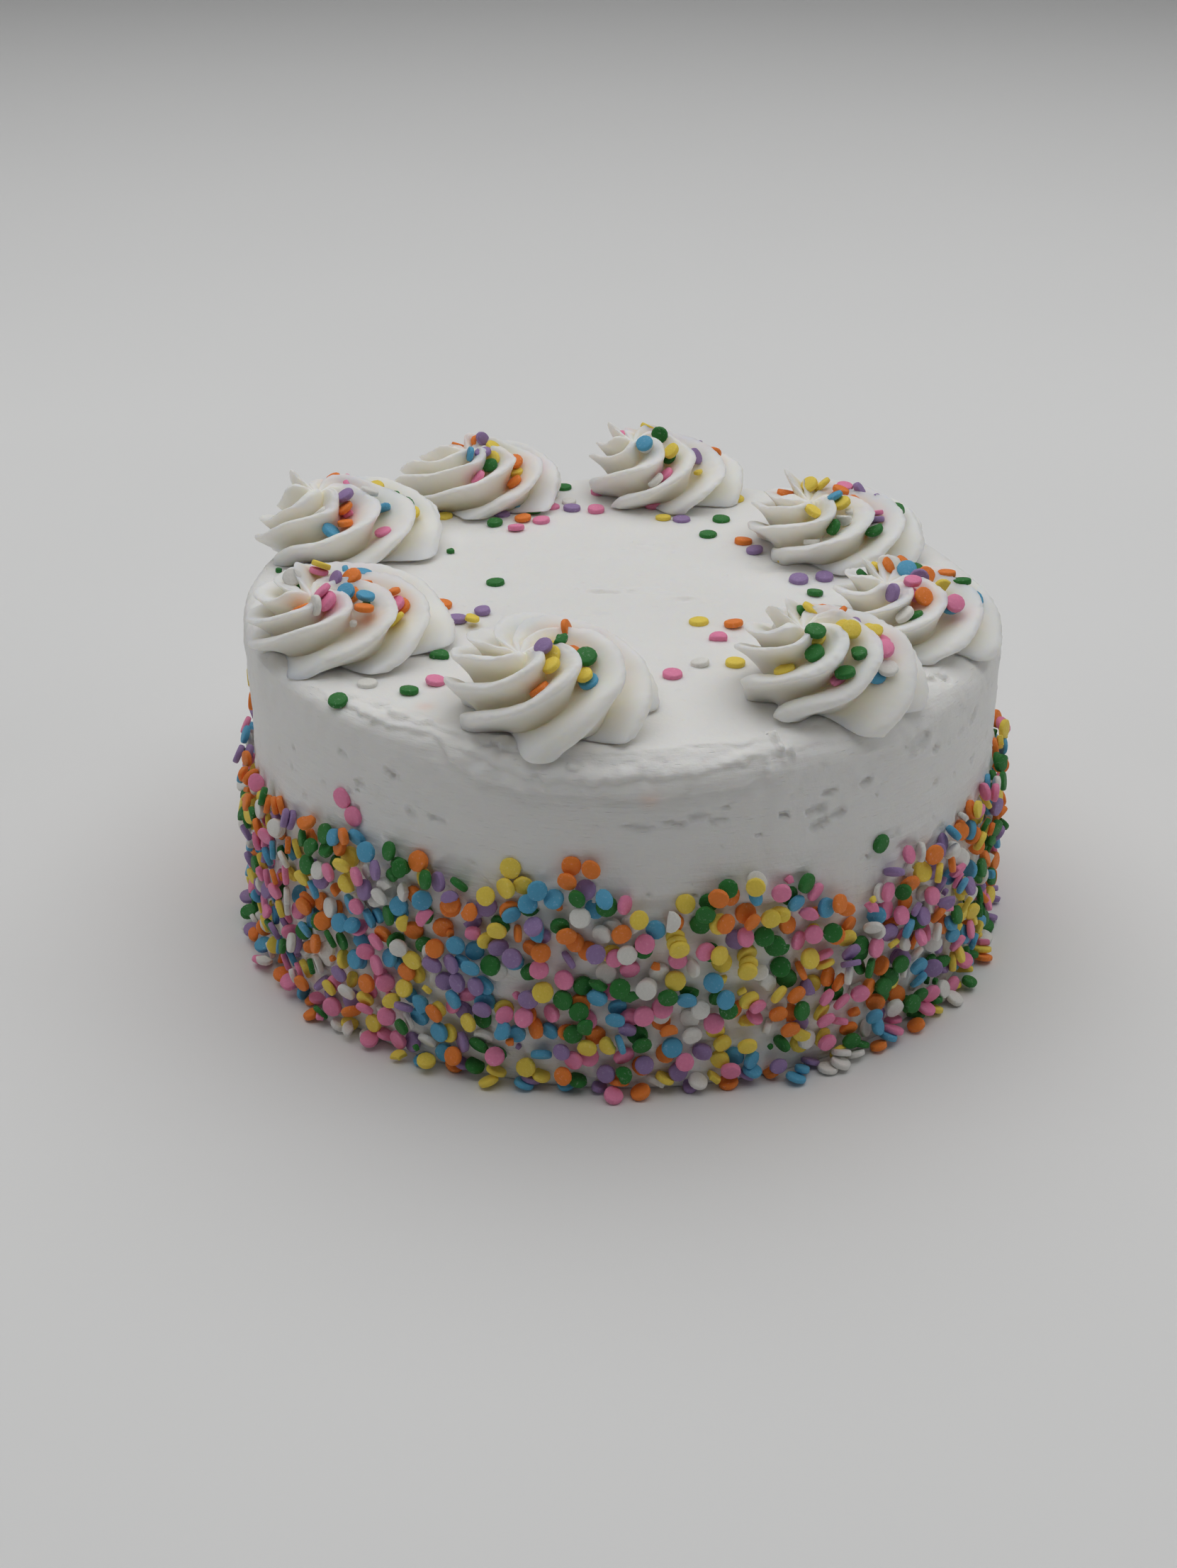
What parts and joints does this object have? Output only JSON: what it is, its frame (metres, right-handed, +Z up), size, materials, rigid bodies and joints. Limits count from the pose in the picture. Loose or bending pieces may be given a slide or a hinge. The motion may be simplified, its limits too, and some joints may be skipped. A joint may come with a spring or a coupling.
{
  "type": "vanilla cake",
  "caption": "Round celebration cake in smooth white icing, with a crown of piped swirl rosettes round the top edge and round confetti sprinkles pressed on the lower side.",
  "frame": {"origin": "centre of the cake's flat underside, at the level it stands on", "axes": "+Z up; the side seen first faces -Y; +X to the right of someone facing the cake"},
  "size_m": [0.2328, 0.234, 0.1275],
  "materials": {
    "icing": "smooth white icing, satin",
    "piped_icing": "piped white icing, satin"
  },
  "bodies": {
    "root": {"cake": "icing", "rosette_1": "piped_icing", "rosette_2": "piped_icing", "rosette_3": "piped_icing", "rosette_4": "piped_icing", "rosette_5": "piped_icing", "rosette_6": "piped_icing", "rosette_7": "piped_icing", "rosette_8": "piped_icing"}
  },
  "joints": []
}
